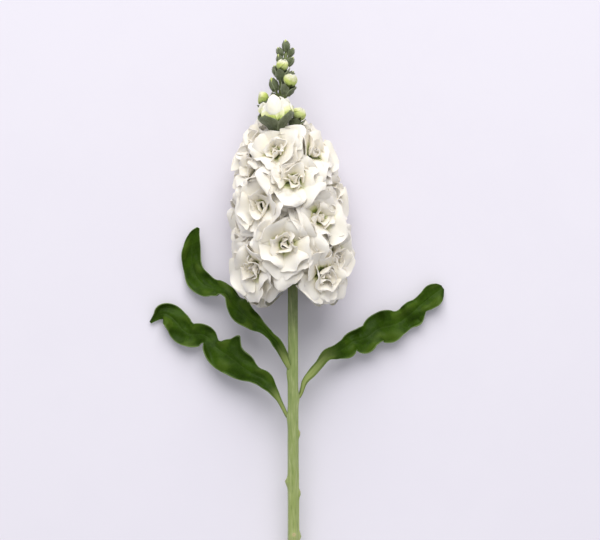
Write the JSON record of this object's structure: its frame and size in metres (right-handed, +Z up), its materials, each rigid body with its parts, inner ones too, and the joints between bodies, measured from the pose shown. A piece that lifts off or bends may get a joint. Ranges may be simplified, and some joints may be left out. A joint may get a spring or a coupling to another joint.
{
  "type": "stock flower stem",
  "caption": "Cut stem of white double stock: a tapering head of layered blooms, green buds at the tip, three waved leaves and a bare stalk, lying flat.",
  "frame": {"origin": "on the surface that the stem lies on, under the middle of its box", "axes": "+Y runs along the stem from the cut end to the tip, +Z points up from the surface, +X is the side of the single leaf"},
  "size_m": [0.1789, 0.3794, 0.0673],
  "materials": {
    "petal": "matte",
    "bud_petal": "matte",
    "leaf": "satin",
    "stalk": "satin"
  },
  "bodies": {
    "root": {"stem": "stalk", "leaf_left_upper": "leaf", "leaf_left_lower": "leaf", "leaf_right": "leaf", "floret_01": "petal", "floret_02": "petal", "floret_03": "petal", "floret_04": "petal", "floret_05": "petal", "floret_06": "petal", "floret_07": "petal", "floret_08": "petal", "floret_09": "petal", "floret_10": "petal", "floret_11": "petal", "floret_12": "petal", "floret_13": "petal", "floret_14": "petal", "floret_15": "petal", "floret_16": "petal", "floret_17": "petal", "floret_18": "petal", "floret_19": "petal", "floret_20": "petal", "floret_21": "petal", "floret_22": "petal", "opening_bud_1": "bud_petal", "opening_bud_2": "bud_petal", "opening_bud_3": "bud_petal", "opening_bud_4": "bud_petal", "opening_bud_5": "bud_petal"}
  },
  "joints": []
}
